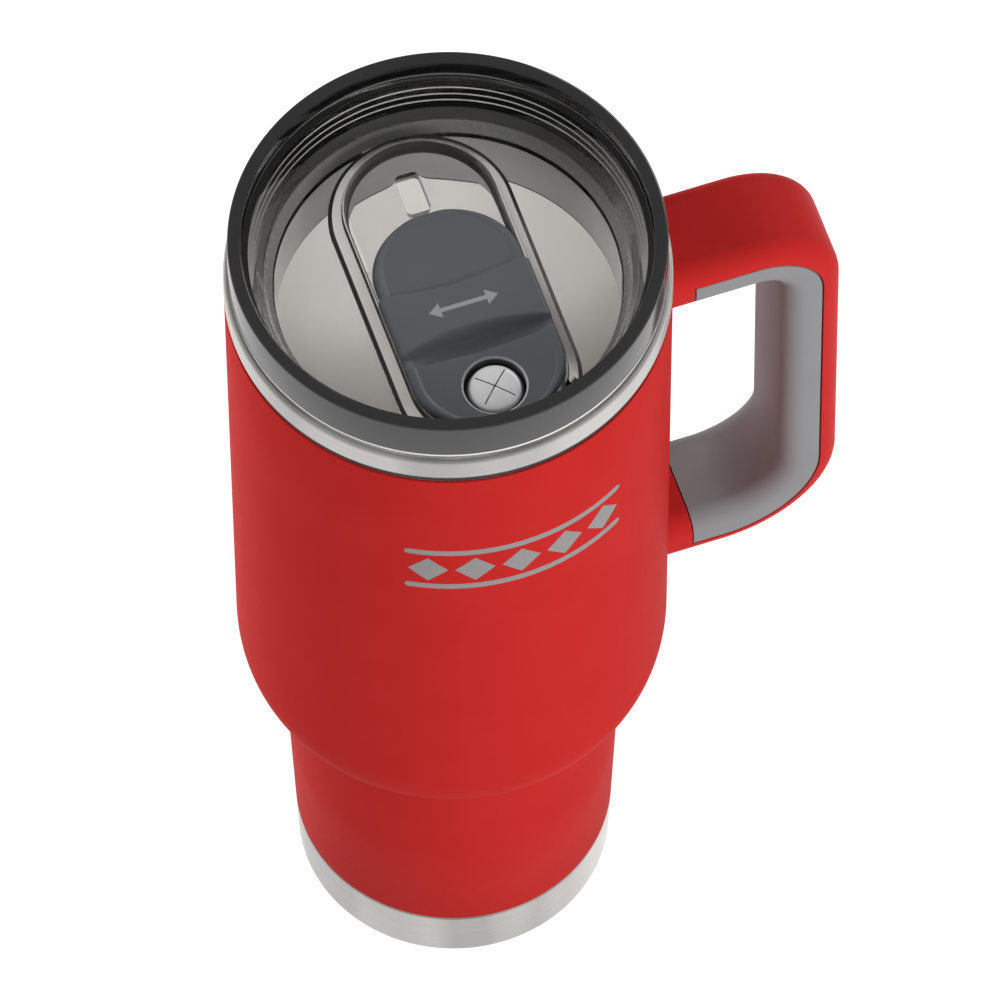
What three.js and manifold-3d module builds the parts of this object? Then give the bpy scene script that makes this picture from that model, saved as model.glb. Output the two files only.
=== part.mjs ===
// Insulated travel mug: a double-wall steel body with a shoulder, a press-in see-through lid
// with a slider, and a C-shaped handle with a soft grip.
// Millimetres, +Z up. The origin is the middle of the base on the mug's axis, and the handle
// points along +X. The lid's slider runs along Y, with its drinking end towards -Y.
import * as THREE from "three";
import { mergeVertices } from "three/addons/utils/BufferGeometryUtils.js";
import Module from "manifold-3d";

const wasm = await Module();
wasm.setup();

// Body
const BASE_RADIUS = 36.5;
const BASE_CORNER = 0.6; // small slope round the bottom edge
const BAND_HEIGHT = 15.8; // bare steel band round the foot
const CREASE_RADIUS = 39.6; // end of the slim lower part, under the shoulder
const CREASE_Z = 85.8;
const SHOULDER_RADIUS = 49.7;
const SHOULDER_Z = 103.4;
const SHOULDER_POWER = 2.2; // exponent of the shoulder's rounded curve
const COAT_TOP_RADIUS = 50.5;
const COAT_TOP_Z = 241.0;
const WALL = 0.6; // outer steel wall
const LINER_WALL = 0.5;
const VACUUM_SPACE = 2.8; // evacuated space between the two walls
const GAP = 0.3; // clearance between pieces that touch
const FACET_ROOM = 0.05; // added where a faceted wall's flats lie inside its radius
const RING_Z = 243.4; // bare steel ring at the mouth
const RING_HEIGHT = 6.2;
const RING_RADIUS = 50.55;
const NECK_RADIUS = 48.0;
const NECK_WALL = 0.6;
const NECK_START_Z = 247.0; // the inner vessel widens to its neck between these two heights
const NECK_TAPER_Z = 240.0;
const LIP_Z = 258.2;

// Foot and vacuum pieces
const CUP_WALL = 0.8;
const CUP_FLOOR = 1.2;
const COLLAR_TOP_Z = BAND_HEIGHT + 4.0; // the foot's collar reaches up inside the outer wall
const VACUUM_BOTTOM_Z = BAND_HEIGHT + 5.2;
const VACUUM_PLATE = 1.0;
const VACUUM_HOLE_RADIUS = 1.5;
const LINER_BOTTOM_Z = VACUUM_BOTTOM_Z + 5.0;
const LINER_CORNER = 4.0; // slope round the inner vessel's floor

// Handle: a rounded section that is swept along a C
const HANDLE_TOP_Z = 235.4;
const HANDLE_BOTTOM_Z = 110.8;
const HANDLE_REACH = 90.6; // outermost face of the handle
const HANDLE_WIDTH = 24.8;
const HANDLE_THICKNESS = 14.0;
const HANDLE_EDGE_RADIUS = 5.0;
const HANDLE_TOP_BEND = 21.2;
const HANDLE_BOTTOM_BEND = 28.3;
const SHELL_THICKNESS = 5.2; // the hard outer part; the rest is the soft grip
const GRIP_START = 54.9; // where the soft grip begins, out from the axis
const SCREW_X = 61.0;

// Lid
const LID_TOP_Z = 262.8;
const LID_RADIUS = 49.5;
const FLOOR_Z = 243.8;
const FLOOR_THICKNESS = 2.3;
const PLUG_BOTTOM_Z = 225.5;
const PLUG_RADIUS = 40.85;
const TRACK_REAR_Y = 17.8; // centre of the track's rear end
const TRACK_FRONT_Y = -27.0;
const POCKET_Z = 244.3; // floor inside the track
const PORT_Y = -32.2; // drinking hole in the lid's floor
const PORT_RADIUS = 6.3;
const VENT = { halfWidth: 2.85, front: 19.3, rear: 29.9, corner: 1.3 };
const SLOT = { halfWidth: 2.8, front: -14.4, rear: 12.6, corner: 2.79 };
const UNDER_FLOOR_Z = FLOOR_Z - FLOOR_THICKNESS;
const SKIRT_INSIDE = NECK_RADIUS + 0.55; // the band hangs outside the inner vessel's lip
const BAND_BOTTOM_Z = RING_Z + RING_HEIGHT + 1.2;
const LID_EDGE = 0.6; // bevels on the lid's plug and rim

// Track ridge: [half width, z] of its outside, crest and inside.
const RIDGE = [
  [21.3, 245.0],
  [20.4, 245.2],
  [18.0, 248.6],
  [17.6, 248.6],
  [17.5, 246.4],
  [16.9, 244.9],
  [15.6, POCKET_Z],
];

// Slider, drawn at the front of its travel
const SLIDER_HALF_WIDTH = 17.9;
const SLIDER_REAR_HALF_WIDTH = 17.2;
const SLIDER_BELLY_HALF_WIDTH = 14.8;
const SLIDER_REAR_Y = 0.0; // centre of its rear end
const SLIDER_FRONT_Y = -27.0;
const SLIDER_END_DEPTH = 15.2; // both ends are oval
const SLIDER_BOTTOM_Z = 244.7;
const SLIDER_FLANGE_Z = 248.9; // the front part overhangs the track's crest above this
const SLIDER_REAR_TOP_Z = 250.6;
const SLIDER_BAND_TOP_Z = 251.5;
const SLIDER_NOSE_TOP_Z = 250.3;
const SLIDER_BELLY_REAR_Y = -1.0;
const SLIDER_BELLY_DEPTH = 13.0;
const SLIDER_REAR_BOTTOM_Z = 246.8;
const BAND_REAR_Y = -3.9; // the raised band across the slider
const BAND_FRONT_Y = -18.0;
const VALVE_HOLE_RADIUS = 7.1;
const SEAL = { outer: 8.9, inner: 5.8, top: 246.2 };
const CLIP_TOP_Z = 247.2;
const CLIP_FOOT = { halfWidth: 7.0, overhang: 3.0, bottom: 239.5 };
const VALVE = { edge: 5.9, flangeBottom: 246.5, flangeTop: 247.9, top: 249.8, wall: 1.0 };
const SLIT = { halfLength: 4.4, halfWidth: 0.15, bottom: 248.9 };

// Cutting tools reach past the lid and past the mug's sides.
const CUT_BOTTOM_Z = 238.0;
const CUT_TOP_Z = LID_TOP_Z + 1.0;
const CUT_REACH = 60.0;

const SEGMENTS = 48; // round the mug
const SMALL_SEGMENTS = 24; // round small pieces

// ---------- solids ----------

function toSolid(geometry) {
  const bare = geometry.clone();
  bare.deleteAttribute("normal");
  bare.deleteAttribute("uv");
  const merged = mergeVertices(bare, 1e-4);
  const solid = new wasm.Manifold(
    new wasm.Mesh({
      numProp: 3,
      vertProperties: merged.attributes.position.array,
      triVerts: new Uint32Array(merged.index.array),
    }),
  );
  return solid;
}

function toGeometry(solid) {
  const mesh = solid.getMesh();
  const positions = new Float32Array(mesh.numVert * 3);
  for (let i = 0; i < mesh.numVert; i++) {
    positions.set(mesh.vertProperties.subarray(i * mesh.numProp, i * mesh.numProp + 3), i * 3);
  }
  const geometry = new THREE.BufferGeometry();
  geometry.setAttribute("position", new THREE.BufferAttribute(positions, 3));
  geometry.setIndex(new THREE.BufferAttribute(new Uint32Array(mesh.triVerts), 1));
  const flat = geometry.toNonIndexed();
  flat.computeVertexNormals();
  return flat;
}

// A closed profile of [radius, z] points, anticlockwise in the r-z plane, turned round Z.
function turned(profile, segments = SEGMENTS) {
  const onAxis = profile[0][0] === 0;
  const loop = onAxis ? profile : [...profile, profile[0]];
  const points = loop.map(([r, z]) => new THREE.Vector2(r, z));
  return new THREE.LatheGeometry(points, segments).rotateX(Math.PI / 2);
}

function turnedSolid(profile, segments = SEGMENTS) {
  return toSolid(turned(profile, segments));
}

// The same, pulled out along Y into a stadium. It is turned by half a segment first, so
// that every column of points belongs to one of the two half-round ends.
function stretched(profile, rearY, frontY, segments = 32) {
  const geometry = turned(profile, segments).rotateZ(Math.PI / segments);
  const position = geometry.attributes.position;
  const columnLength = position.count / (segments + 1);
  for (let i = 0; i < position.count; i++) {
    const column = Math.floor(i / columnLength);
    const angle = ((column + 0.5) * 2 * Math.PI) / segments - Math.PI / 2;
    position.setY(i, position.getY(i) + (Math.sin(angle) > 0 ? rearY : frontY));
  }
  return geometry;
}

// A flat shape in X-Y, raised from one height to another.
function raised(shape, bottom, top, curveSegments = 12) {
  const geometry = new THREE.ExtrudeGeometry(shape, {
    depth: top - bottom,
    bevelEnabled: false,
    curveSegments,
  });
  return geometry.translate(0, 0, bottom);
}

function raisedSolid(shape, bottom, top, curveSegments = 12) {
  return toSolid(raised(shape, bottom, top, curveSegments));
}

function boxSolid(low, high) {
  const size = high.map((value, i) => value - low[i]);
  const middle = high.map((value, i) => (value + low[i]) / 2);
  return toSolid(new THREE.BoxGeometry(...size).translate(...middle));
}

// A slider outline: straight sides with half-oval ends.
function oval(halfWidth, rearY, frontY, depth) {
  const shape = new THREE.Shape();
  shape.moveTo(halfWidth, frontY);
  shape.lineTo(halfWidth, rearY);
  shape.absellipse(0, rearY, halfWidth, depth, 0, Math.PI, false);
  shape.lineTo(-halfWidth, frontY);
  shape.absellipse(0, frontY, halfWidth, depth, Math.PI, 2 * Math.PI, false);
  return shape;
}

// A rounded rectangle along Y, from one end to the other.
function roundedSlot({ halfWidth, front, rear, corner }) {
  const x = halfWidth - corner;
  const quarter = Math.PI / 2;
  const shape = new THREE.Shape();
  shape.moveTo(halfWidth, front + corner);
  shape.lineTo(halfWidth, rear - corner);
  shape.absarc(x, rear - corner, corner, 0, quarter, false);
  shape.lineTo(-x, rear);
  shape.absarc(-x, rear - corner, corner, quarter, 2 * quarter, false);
  shape.lineTo(-halfWidth, front + corner);
  shape.absarc(-x, front + corner, corner, 2 * quarter, 3 * quarter, false);
  shape.lineTo(x, front);
  shape.absarc(x, front + corner, corner, 3 * quarter, 4 * quarter, false);
  return shape;
}

function disc(radius, y = 0) {
  const shape = new THREE.Shape();
  shape.absarc(0, y, radius, 0, 2 * Math.PI, false);
  return shape;
}

// ---------- finishes ----------

const finish = (color, roughness, metalness) =>
  new THREE.MeshStandardMaterial({ color, roughness, metalness });

const redCoat = finish(0xc8302c, 0.45, 0.1);
const redPlastic = finish(0xc8302c, 0.4, 0.0);
const greyGrip = finish(0x8a8b8d, 0.6, 0.0);
const bareSteel = finish(0xc9c5c1, 0.3, 1.0);
const blackSilicone = finish(0x161616, 0.5, 0.0);
const smokeClear = finish(0x4a4a4a, 0.1, 0.0);
const clearSilicone = finish(0xd8d8d6, 0.3, 0.0);
const charcoal = finish(0x54565b, 0.4, 0.0);
const darkSeam = finish(0x1c1b18, 0.7, 0.0);

// ---------- body ----------

// Outside radius of the mug below the mouth.
function outsideRadius(z) {
  if (z <= CREASE_Z) {
    return BASE_RADIUS + ((CREASE_RADIUS - BASE_RADIUS) * z) / CREASE_Z;
  }
  if (z < SHOULDER_Z) {
    const down = (SHOULDER_Z - z) / (SHOULDER_Z - CREASE_Z);
    const out = (1 - down ** SHOULDER_POWER) ** (1 / SHOULDER_POWER);
    return CREASE_RADIUS + (SHOULDER_RADIUS - CREASE_RADIUS) * out;
  }
  const up = (z - SHOULDER_Z) / (COAT_TOP_Z - SHOULDER_Z);
  return SHOULDER_RADIUS + (COAT_TOP_RADIUS - SHOULDER_RADIUS) * up;
}

// Heights that draw the outside between two levels, closer together on the shoulder.
function wallHeights(bottom, top, shoulderSteps) {
  const heights = [bottom];
  for (let i = 0; i <= shoulderSteps; i++) {
    const turn = (i / shoulderSteps) * (Math.PI / 2);
    heights.push(CREASE_Z + (SHOULDER_Z - CREASE_Z) * (1 - Math.cos(turn)));
  }
  heights.push(top);
  return heights;
}

// The outside grown by a distance, as one filled solid.
function bodyEnvelope(grow) {
  const side = wallHeights(0, COAT_TOP_Z, 6).map((z) => [outsideRadius(z) + grow, z]);
  return turnedSolid([[0, 0], ...side, [0, COAT_TOP_Z]]);
}

function outerShell() {
  const bottom = BAND_HEIGHT + GAP / 2;
  const outside = wallHeights(bottom, COAT_TOP_Z, 7).map((z) => [outsideRadius(z), z]);
  const inside = wallHeights(bottom, COAT_TOP_Z, 7)
    .reverse()
    .map((z) => [outsideRadius(z - WALL) - WALL, z]);
  return turned([...outside, ...inside]);
}

// Bare steel foot: a flat bottom, the visible band and a collar that fits inside the shell.
function baseCup() {
  const top = BAND_HEIGHT - GAP / 2;
  const collarRadius = outsideRadius(BAND_HEIGHT) - WALL - GAP - FACET_ROOM;
  const insideRadius = collarRadius - CUP_WALL;
  return turned([
    [0, 0],
    [BASE_RADIUS - BASE_CORNER, 0],
    [BASE_RADIUS, BASE_CORNER],
    [outsideRadius(top), top],
    [collarRadius, top],
    [collarRadius, COLLAR_TOP_Z],
    [insideRadius, COLLAR_TOP_Z],
    [insideRadius, CUP_FLOOR],
    [0, CUP_FLOOR],
  ]);
}

// Plate that closes the outer wall, with the hole the air was drawn out through.
function vacuumBottom() {
  const radius = outsideRadius(VACUUM_BOTTOM_Z) - WALL - GAP - FACET_ROOM;
  const top = VACUUM_BOTTOM_Z + VACUUM_PLATE;
  return turned([
    [VACUUM_HOLE_RADIUS, top],
    [VACUUM_HOLE_RADIUS, VACUUM_BOTTOM_Z],
    [radius, VACUUM_BOTTOM_Z],
    [radius, top],
  ]);
}

// Solder button under the plate, which closes the hole.
function vacuumSeal() {
  const radius = 2 * VACUUM_HOLE_RADIUS;
  const top = VACUUM_BOTTOM_Z - GAP;
  const bottom = top - 1.2;
  const crown = [[0, bottom], [radius - 0.4, bottom + 0.2]];
  return turned([...crown, [radius, top], [0, top]], SMALL_SEGMENTS);
}

// Pill under the inner vessel that takes up the last gas in the vacuum.
function vacuumGetter() {
  const radius = 5;
  const top = LINER_BOTTOM_Z - GAP;
  const bottom = top - 2;
  return turned([[0, bottom], [radius, bottom], [radius, top], [0, top]], SMALL_SEGMENTS);
}

// Outside radius of the inner vessel below its neck.
const linerRadius = (z) => outsideRadius(z - VACUUM_SPACE) - WALL - VACUUM_SPACE;

function innerLiner() {
  const cornerTop = LINER_BOTTOM_Z + LINER_CORNER;
  const floorRadius = linerRadius(cornerTop) - LINER_CORNER;
  const lift = (z) => (z > cornerTop && z < NECK_TAPER_Z ? z + VACUUM_SPACE : z);
  const outside = wallHeights(cornerTop, NECK_TAPER_Z, 6).map((z) => [linerRadius(lift(z)), lift(z)]);
  const inside = [...outside].reverse().map(([r, z]) => [r - LINER_WALL, z]);
  const neckInside = NECK_RADIUS - NECK_WALL;
  return turned([
    [0, LINER_BOTTOM_Z],
    [floorRadius, LINER_BOTTOM_Z],
    ...outside,
    [NECK_RADIUS, NECK_START_Z],
    [NECK_RADIUS, LIP_Z - 1],
    [NECK_RADIUS + 0.2, LIP_Z - 0.5],
    [NECK_RADIUS - 0.2, LIP_Z],
    [neckInside, LIP_Z - 0.3],
    [neckInside, NECK_START_Z],
    ...inside,
    [floorRadius, LINER_BOTTOM_Z + LINER_WALL],
    [0, LINER_BOTTOM_Z + LINER_WALL],
  ]);
}

// Bare steel ring that joins the two walls at the mouth.
function neckRing() {
  const inside = NECK_RADIUS + GAP;
  const top = RING_Z + RING_HEIGHT;
  return turned([
    [inside, RING_Z],
    [RING_RADIUS, RING_Z],
    [RING_RADIUS, top - 0.8],
    [RING_RADIUS - 0.3, top - 0.2],
    [RING_RADIUS - 0.9, top],
    [inside + 0.8, top + 0.2],
    [inside, top - 0.2],
  ]);
}

function neckSeam() {
  const inside = NECK_RADIUS + 0.7;
  const outside = COAT_TOP_RADIUS - 0.4;
  const bottom = COAT_TOP_Z + GAP;
  const top = RING_Z - GAP;
  return turned([[inside, bottom], [outside, bottom], [outside, top], [inside, top]]);
}

// ---------- handle ----------

// The C that the parting face between the hard shell and the soft grip follows:
// out along the upper arm, down the grip, and back along the lower arm.
class HandlePath extends THREE.Curve {
  constructor(startX) {
    super();
    const top = HANDLE_TOP_Z - SHELL_THICKNESS;
    const bottom = HANDLE_BOTTOM_Z + SHELL_THICKNESS;
    const gripX = HANDLE_REACH - SHELL_THICKNESS;
    const upperBend = HANDLE_TOP_BEND - SHELL_THICKNESS;
    const lowerBend = HANDLE_BOTTOM_BEND - SHELL_THICKNESS;
    this.pieces = [
      this.line(startX, top, gripX - upperBend, top),
      this.arc(gripX - upperBend, top - upperBend, upperBend, Math.PI / 2),
      this.line(gripX, top - upperBend, gripX, bottom + lowerBend),
      this.arc(gripX - lowerBend, bottom + lowerBend, lowerBend, 0),
      this.line(gripX - lowerBend, bottom, startX, bottom),
    ];
    this.total = this.pieces.reduce((sum, piece) => sum + piece.length, 0);
  }

  line(x0, z0, x1, z1) {
    const length = Math.hypot(x1 - x0, z1 - z0);
    return { length, at: (f) => [x0 + (x1 - x0) * f, z0 + (z1 - z0) * f] };
  }

  // A clockwise quarter turn from the given angle.
  arc(x, z, radius, from) {
    const at = (f) => {
      const angle = from - (f * Math.PI) / 2;
      return [x + radius * Math.cos(angle), z + radius * Math.sin(angle)];
    };
    return { length: (radius * Math.PI) / 2, at };
  }

  getPoint(t, target = new THREE.Vector3()) {
    let left = t * this.total;
    let piece = this.pieces[0];
    for (piece of this.pieces) {
      if (left <= piece.length) break;
      left -= piece.length;
    }
    const [x, z] = piece.at(Math.min(left / piece.length, 1));
    return target.set(x, 0, z);
  }
}

// Section between two depths, measured in from the parting face, with its outer or inner
// corners rounded. Along the path, x of the shape points into the C and y across the handle.
function handleSection(from, to, roundOuter, roundInner) {
  const half = HANDLE_WIDTH / 2;
  const outer = roundOuter ? HANDLE_EDGE_RADIUS : 0;
  const inner = roundInner ? HANDLE_EDGE_RADIUS : 0;
  const quarter = Math.PI / 2;
  const shape = new THREE.Shape();
  shape.moveTo(from + outer, -half);
  shape.lineTo(to - inner, -half);
  if (inner) shape.absarc(to - inner, -half + inner, inner, -quarter, 0, false);
  else shape.lineTo(to, -half);
  shape.lineTo(to, half - inner);
  if (inner) shape.absarc(to - inner, half - inner, inner, 0, quarter, false);
  shape.lineTo(from + outer, half);
  if (outer) shape.absarc(from + outer, half - outer, outer, quarter, 2 * quarter, false);
  else shape.lineTo(from, half);
  shape.lineTo(from, -half + outer);
  if (outer) shape.absarc(from + outer, -half + outer, outer, 2 * quarter, 3 * quarter, false);
  return shape;
}

function swept(section, startX, steps) {
  return toSolid(
    new THREE.ExtrudeGeometry(section, {
      steps,
      curveSegments: 4,
      bevelEnabled: false,
      extrudePath: new HandlePath(startX),
    }),
  );
}

// The two arms: the height of the parting face and the way into the C.
const ARMS = [
  { name: "upper", parting: HANDLE_TOP_Z - SHELL_THICKNESS, inward: -1 },
  { name: "lower", parting: HANDLE_BOTTOM_Z + SHELL_THICKNESS, inward: 1 },
];

// A box on an arm: x and y ranges, and depths in from the parting face.
function armBox(arm, x, y, depth) {
  const z = depth.map((d) => arm.parting + arm.inward * d).sort((a, b) => a - b);
  return boxSolid([x[0], y[0], z[0]], [x[1], y[1], z[1]]);
}

// An upright cylinder at the arm's screw, between two depths.
function armCylinder(arm, radius, from, to, segments = SMALL_SEGMENTS / 2) {
  const length = Math.abs(to - from);
  const middle = arm.parting + (arm.inward * (from + to)) / 2;
  const geometry = new THREE.CylinderGeometry(radius, radius, length, segments);
  return toSolid(geometry.rotateX(Math.PI / 2).translate(SCREW_X, 0, middle));
}

const PLATE_DEPTH = [0.6, 3.2];
const PLATE_END = 66;
const PLATE_HALF_WIDTH = 6;
const PLATE_START = 50.9;
const FLANGE_DEPTH = [-2.8, 6.4];
const FLANGE_HALF_WIDTH = 8;
const FLANGE_THICKNESS = 1.3;
const ARM_START = 44; // the handle's arms are drawn from inside the body's wall
const HEAD_RADIUS = 3.3;
const HEAD_DEPTH = [3.5, 6.0];
const SHANK_RADIUS = 1.7;
const SHANK_TIP = -3.4;
const SOCKET_RADIUS = 1.4;
const SOCKET_DEPTH = 1.4;

// Welded to the body: a curved flange on the wall and a flat plate for the screw.
function bracket(arm) {
  const skin = bodyEnvelope(GAP + FLANGE_THICKNESS).subtract(bodyEnvelope(GAP));
  const width = [-FLANGE_HALF_WIDTH, FLANGE_HALF_WIDTH];
  const flange = skin.intersect(armBox(arm, [ARM_START, SCREW_X], width, FLANGE_DEPTH));
  const plateWidth = [-PLATE_HALF_WIDTH, PLATE_HALF_WIDTH];
  const plate = armBox(arm, [PLATE_START, PLATE_END], plateWidth, PLATE_DEPTH);
  const hole = armCylinder(arm, SHANK_RADIUS + GAP, PLATE_DEPTH[0] - 1, PLATE_DEPTH[1] + 1);
  return flange.add(plate.subtract(bodyEnvelope(GAP + FLANGE_THICKNESS / 2))).subtract(hole);
}

// Pan-head screw with a hexagon socket.
function screw(arm) {
  const [under, top] = HEAD_DEPTH;
  const head = armCylinder(arm, HEAD_RADIUS, under, top);
  const shank = armCylinder(arm, SHANK_RADIUS, SHANK_TIP, (under + top) / 2);
  const socket = armCylinder(arm, SOCKET_RADIUS, top - SOCKET_DEPTH, top + 1, 6);
  return head.add(shank).subtract(socket);
}

// Full-depth end of an arm, from inside the body's wall to where the soft grip begins.
function armBlock(arm) {
  const section = handleSection(-SHELL_THICKNESS, HANDLE_THICKNESS - SHELL_THICKNESS, true, true);
  const block = new THREE.ExtrudeGeometry(section, {
    depth: GRIP_START - GAP - ARM_START,
    curveSegments: 4,
    bevelEnabled: false,
  });
  block.rotateY(Math.PI / 2);
  if (arm.inward > 0) block.rotateX(Math.PI);
  return toSolid(block.translate(ARM_START, 0, arm.parting));
}

// Hard outer C, closed at both ends by a block with room in it for the bracket and screw.
function handleShell() {
  let shell = swept(handleSection(-SHELL_THICKNESS, -GAP / 2, true, false), ARM_START, 46);
  const flangeRoom = [FLANGE_DEPTH[0] - GAP, FLANGE_DEPTH[1] + GAP];
  const flangeWidth = FLANGE_HALF_WIDTH + GAP;
  const flangeEnd = PLATE_START + FLANGE_THICKNESS + 2 * GAP;
  const plateRoom = [PLATE_DEPTH[0] - GAP, PLATE_DEPTH[1] + GAP];
  const plateWidth = PLATE_HALF_WIDTH + GAP;
  for (const arm of ARMS) {
    shell = shell
      .add(armBlock(arm))
      .subtract(armBox(arm, [0, flangeEnd], [-flangeWidth, flangeWidth], flangeRoom))
      .subtract(armBox(arm, [0, GRIP_START], [-plateWidth, plateWidth], plateRoom))
      .subtract(armCylinder(arm, SHANK_RADIUS + GAP, SHANK_TIP - GAP, PLATE_DEPTH[0]));
  }
  return shell.subtract(bodyEnvelope(GAP));
}

// Soft inner C, with room in its outer face for the bracket plates and screw heads.
function handleGrip() {
  const inside = HANDLE_THICKNESS - SHELL_THICKNESS;
  let grip = swept(handleSection(GAP / 2, inside, false, true), GRIP_START, 42);
  const width = PLATE_HALF_WIDTH + GAP;
  const plateRoom = [-1, PLATE_DEPTH[1] + GAP];
  for (const arm of ARMS) {
    grip = grip
      .subtract(armBox(arm, [ARM_START, PLATE_END + GAP], [-width, width], plateRoom))
      .subtract(armCylinder(arm, HEAD_RADIUS + GAP, 0, HEAD_DEPTH[1] + GAP));
  }
  return grip;
}

// ---------- lid ----------

// Inside of the lid's well, from the rim down to the edge of the floor.
const WELL = [
  [46.45, LID_TOP_Z - 0.5],
  [46.2, 258.2],
  [44.9, 257.3],
  [43.0, 249.6],
  [41.5, 246.2],
  [40.6, 244.7],
  [39.5, FLOOR_Z],
];

// Outside of the well's wall, where the gasket sits.
const GASKET_SEAT = [
  [42.2, 245.0],
  [44.1, 249.6],
  [46.0, 256.6],
];
const FIN_HEIGHTS = [246.3, 248.9, 251.7];

function seatRadius(z) {
  const [low, middle, high] = GASKET_SEAT;
  const [from, to] = z < middle[1] ? [low, middle] : [middle, high];
  return from[0] + ((to[0] - from[0]) * (z - from[1])) / (to[1] - from[1]);
}

// Plug and floor, the well with its gasket seat, the band over the mouth, and the track.
function lidBody() {
  const plugInside = PLUG_RADIUS - 1.65;
  const profile = [
    [0, UNDER_FLOOR_Z],
    [plugInside, UNDER_FLOOR_Z],
    [plugInside, PLUG_BOTTOM_Z],
    [PLUG_RADIUS - LID_EDGE / 2, PLUG_BOTTOM_Z],
    [PLUG_RADIUS, PLUG_BOTTOM_Z + LID_EDGE],
    [PLUG_RADIUS, UNDER_FLOOR_Z],
    [41.6, 243.6],
    [44.9, 244.2],
    [44.9, 244.9],
    ...GASKET_SEAT,
    [46.6, LIP_Z + GAP],
    [SKIRT_INSIDE, LIP_Z + GAP],
    [SKIRT_INSIDE, BAND_BOTTOM_Z],
    [LID_RADIUS, BAND_BOTTOM_Z],
    [LID_RADIUS, LID_TOP_Z - LID_EDGE],
    [LID_RADIUS - LID_EDGE, LID_TOP_Z],
    [WELL[0][0] + 0.4, LID_TOP_Z],
    ...WELL,
    [0, FLOOR_Z],
  ];
  const trackBottom = FLOOR_Z - LID_EDGE;
  const track = stretched(
    [[0, trackBottom], [RIDGE[0][0], trackBottom], ...RIDGE, [0, POCKET_Z]],
    TRACK_REAR_Y,
    TRACK_FRONT_Y,
  );
  const cut = (shape, curveSegments) => raisedSolid(shape, CUT_BOTTOM_Z, CUT_TOP_Z, curveSegments);
  return turnedSolid(profile)
    .add(toSolid(track).intersect(insideOfWell(-0.5)))
    .subtract(cut(roundedSlot(VENT), 4))
    .subtract(cut(roundedSlot(SLOT), 6))
    .subtract(cut(disc(PORT_RADIUS, PORT_Y), 12));
}

// Ring with three wiping fins, outside the wall of the lid's well.
function lidGasket() {
  const tip = NECK_RADIUS - 1;
  const bottom = GASKET_SEAT[0][1] + GAP;
  const top = GASKET_SEAT[2][1] - GAP;
  const inside = (z) => seatRadius(z) + GAP;
  const root = (z) => inside(z) + 0.6;
  const outline = [
    [inside(bottom), bottom],
    [root(bottom), bottom],
  ];
  for (const z of FIN_HEIGHTS) {
    outline.push([root(z), z - 0.5], [tip, z], [tip, z + 0.4], [root(z), z + 0.5]);
  }
  const seatMiddle = GASKET_SEAT[1][1];
  outline.push([root(top), top], [inside(top), top], [inside(seatMiddle), seatMiddle]);
  return turned(outline);
}

// Solid round cone that stays clear of the well's wall; it trims the slider's nose.
function insideOfWell(clearance) {
  const wall = WELL.slice(1).map(([r, z]) => [r - clearance, z]);
  const [radius] = wall[0];
  const bottom = FLOOR_Z - 1;
  const side = [[wall.at(-1)[0], bottom], ...wall.reverse(), [radius, LID_TOP_Z]];
  return turnedSolid([[0, bottom], ...side, [0, LID_TOP_Z]]);
}

// A block across the whole lid between two places along Y, from a height upwards.
function crossBlock(fromY, toY, bottom) {
  return boxSolid([-CUT_REACH, fromY, bottom], [CUT_REACH, toY, CUT_TOP_Z]);
}

// Cover that slides on the track: a belly in the track, a flange over its crest, a low rear
// pad, a raised band for the fingertip and a low nose round the drinking valve.
function slider() {
  const layer = (halfWidth, rearY, depth, bottom) =>
    raisedSolid(oval(halfWidth, rearY, SLIDER_FRONT_Y, depth), bottom, SLIDER_BAND_TOP_Z);
  const belly = layer(
    SLIDER_BELLY_HALF_WIDTH, SLIDER_BELLY_REAR_Y, SLIDER_BELLY_DEPTH, SLIDER_BOTTOM_Z,
  );
  const rear = layer(
    SLIDER_REAR_HALF_WIDTH, SLIDER_REAR_Y, SLIDER_END_DEPTH, SLIDER_REAR_BOTTOM_Z,
  );
  const flange = layer(SLIDER_HALF_WIDTH, SLIDER_REAR_Y, SLIDER_END_DEPTH, SLIDER_FLANGE_Z);
  const room = (shape, top, curveSegments) => raisedSolid(shape, CUT_BOTTOM_Z, top, curveSegments);
  return belly
    .add(rear)
    .add(flange.subtract(crossBlock(BAND_REAR_Y, CUT_REACH, CUT_BOTTOM_Z)))
    .intersect(insideOfWell(0.5))
    .subtract(crossBlock(BAND_REAR_Y, CUT_REACH, SLIDER_REAR_TOP_Z))
    .subtract(crossBlock(-CUT_REACH, BAND_FRONT_Y, SLIDER_NOSE_TOP_Z))
    .subtract(room(disc(VALVE_HOLE_RADIUS, PORT_Y), CUT_TOP_Z))
    .subtract(room(disc(SEAL.outer + GAP, PORT_Y), SEAL.top + GAP))
    .subtract(room(roundedSlot(CLIP_ROOM), CLIP_TOP_Z + 0.4, 6));
}

// Soft ring under the slider, round the drinking hole.
function sliderSeal() {
  const shape = disc(SEAL.outer, PORT_Y);
  shape.holes.push(disc(SEAL.inner, PORT_Y));
  return raisedSolid(shape, POCKET_Z + GAP, SEAL.top).intersect(insideOfWell(0.5));
}

// Stem of the retainer, and the room for it in the slider.
const CLIP_ROOM = { ...SLOT, rear: -5.4 };
const CLIP = {
  halfWidth: CLIP_ROOM.halfWidth - GAP,
  front: CLIP_ROOM.front + GAP,
  rear: CLIP_ROOM.rear - GAP,
  corner: CLIP_ROOM.corner - GAP,
};

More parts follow.
